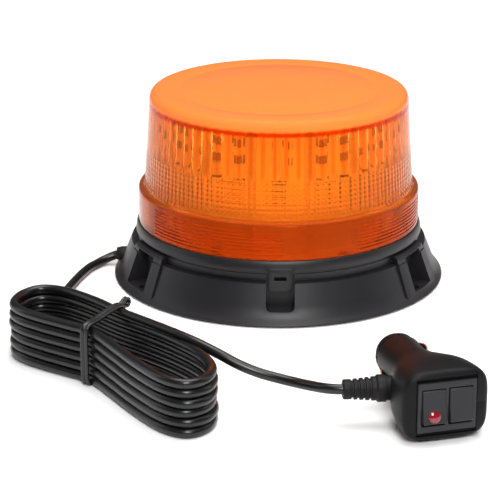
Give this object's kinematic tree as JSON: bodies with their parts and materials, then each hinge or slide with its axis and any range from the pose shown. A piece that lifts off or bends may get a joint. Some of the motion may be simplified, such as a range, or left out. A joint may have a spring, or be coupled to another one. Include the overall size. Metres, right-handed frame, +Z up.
{
  "type": "warning beacon",
  "caption": "Low amber warning beacon on a magnetic base, with a cord folded in a tied hank and a vehicle power plug with rocker switches.",
  "frame": {"origin": "centre of the base's underside, on the surface that the beacon stands on", "axes": "+Z up through the lens, -Y towards the front snap notch, +X to the right seen from the front"},
  "size_m": [0.1996, 0.2887, 0.092],
  "materials": {
    "lens_amber": "injection-moulded amber polycarbonate, glossy outside",
    "base_plastic": "dark grey moulded ABS, satin",
    "seal_rubber": "moulded black rubber",
    "zinc_steel": "zinc-plated steel",
    "ferrite": "sintered ferrite",
    "cast_aluminium": "die-cast aluminium",
    "board_mask": "white solder mask",
    "phosphor": "yellow phosphor in silicone",
    "component_black": "moulded epoxy",
    "white_plastic": "white ABS",
    "green_board": "green solder mask",
    "brass": "machined brass",
    "capacitor_can": "drawn aluminium can",
    "terminal_green": "moulded polyamide",
    "wire_sheath": "extruded PVC",
    "cord_sheath": "black extruded PVC, semi-gloss",
    "tie_plastic": "black PVC-covered twist tie",
    "plug_plastic": "black moulded ABS, satin",
    "nickel": "nickel-plated steel",
    "spring_steel": "spring wire",
    "fuse_glass": "glass tube with plated caps",
    "switch_plastic": "black moulded polyamide, fine grain",
    "phenolic": "brown phenolic",
    "lamp_red": "clear red moulded lens"
  },
  "bodies": {
    "housing": {"lens": "lens_amber", "lens_ring": "base_plastic", "lens_seal": "seal_rubber", "base_shell": "base_plastic", "base_cover": "base_plastic", "cover_screws": "zinc_steel", "magnet_cups": "zinc_steel", "magnets": "ferrite", "magnet_boots": "seal_rubber", "magnet_screws": "zinc_steel", "heat_sink": "cast_aluminium", "heat_sink_screws": "zinc_steel", "led_boards": "board_mask", "leds": "phosphor", "led_resistors": "component_black", "top_reflector": "white_plastic", "reflector_screws": "zinc_steel", "driver_board": "green_board", "board_standoffs": "brass", "board_screws": "zinc_steel", "driver_coils": "ferrite", "driver_capacitors": "capacitor_can", "driver_chips": "component_black", "terminal_block": "terminal_green", "inner_wires": "wire_sheath", "cord_clamp": "base_plastic", "clamp_screws": "zinc_steel", "cord_gland": "seal_rubber", "cord_lead": "cord_sheath", "cord_hank": "cord_sheath", "cord_tie": "tie_plastic", "cord_tail": "cord_sheath", "plug_upper": "plug_plastic", "plug_lower": "plug_plastic", "plug_screws": "zinc_steel", "tip_spring": "spring_steel", "spring_terminal": "brass", "switch_frame": "switch_plastic", "switch_base": "phenolic", "switch_terminals": "brass", "strain_relief": "seal_rubber", "plug_wires": "wire_sheath"},
    "rocker_power": {"rocker_power": "switch_plastic", "power_lamp": "lamp_red"},
    "rocker_mode": {"rocker_mode": "switch_plastic"},
    "tip": {"tip_contact": "nickel", "fuse": "fuse_glass"},
    "side_contact_left": {"side_contact_left": "nickel"},
    "side_contact_right": {"side_contact_right": "nickel"},
    "nose_cap": {"nose_cap": "plug_plastic"}
  },
  "joints": [
    {"name": "power_rocker", "type": "hinge", "parent": "housing", "child": "rocker_power", "pos_m": [0.05763, -0.20221, 0.0155], "axis": [0.9593, 0.2823, 0], "range_deg": [0, 16]},
    {"name": "mode_rocker", "type": "hinge", "parent": "housing", "child": "rocker_mode", "pos_m": [0.06856, -0.19899, 0.0155], "axis": [0.9593, 0.2823, 0], "range_deg": [0, 16], "stiffness_Nm_per_rad": 0.03, "springref_deg": -2.86},
    {"name": "tip_slide", "type": "slide", "parent": "housing", "child": "tip", "axis": [0.2823, -0.9593, 0], "range_m": [0, 0.0025], "stiffness_N_per_m": 1500, "springref_m": -0.001, "deforming": ["tip_spring"]},
    {"name": "left_contact_slide", "type": "slide", "parent": "housing", "child": "side_contact_left", "axis": [0.8179, 0.2407, 0.5225], "range_m": [0, 0.0012], "stiffness_N_per_m": 2500, "springref_m": -0.0003},
    {"name": "right_contact_slide", "type": "slide", "parent": "housing", "child": "side_contact_right", "axis": [-0.8179, -0.2407, -0.5225], "range_m": [0, 0.0012], "stiffness_N_per_m": 2500, "springref_m": -0.0003},
    {"name": "nose_cap_turn", "type": "hinge", "parent": "housing", "child": "nose_cap", "pos_m": [0.04771, -0.14832, 0.0155], "axis": [-0.2823, 0.9593, 0], "range_deg": [0, 720]}
  ]
}
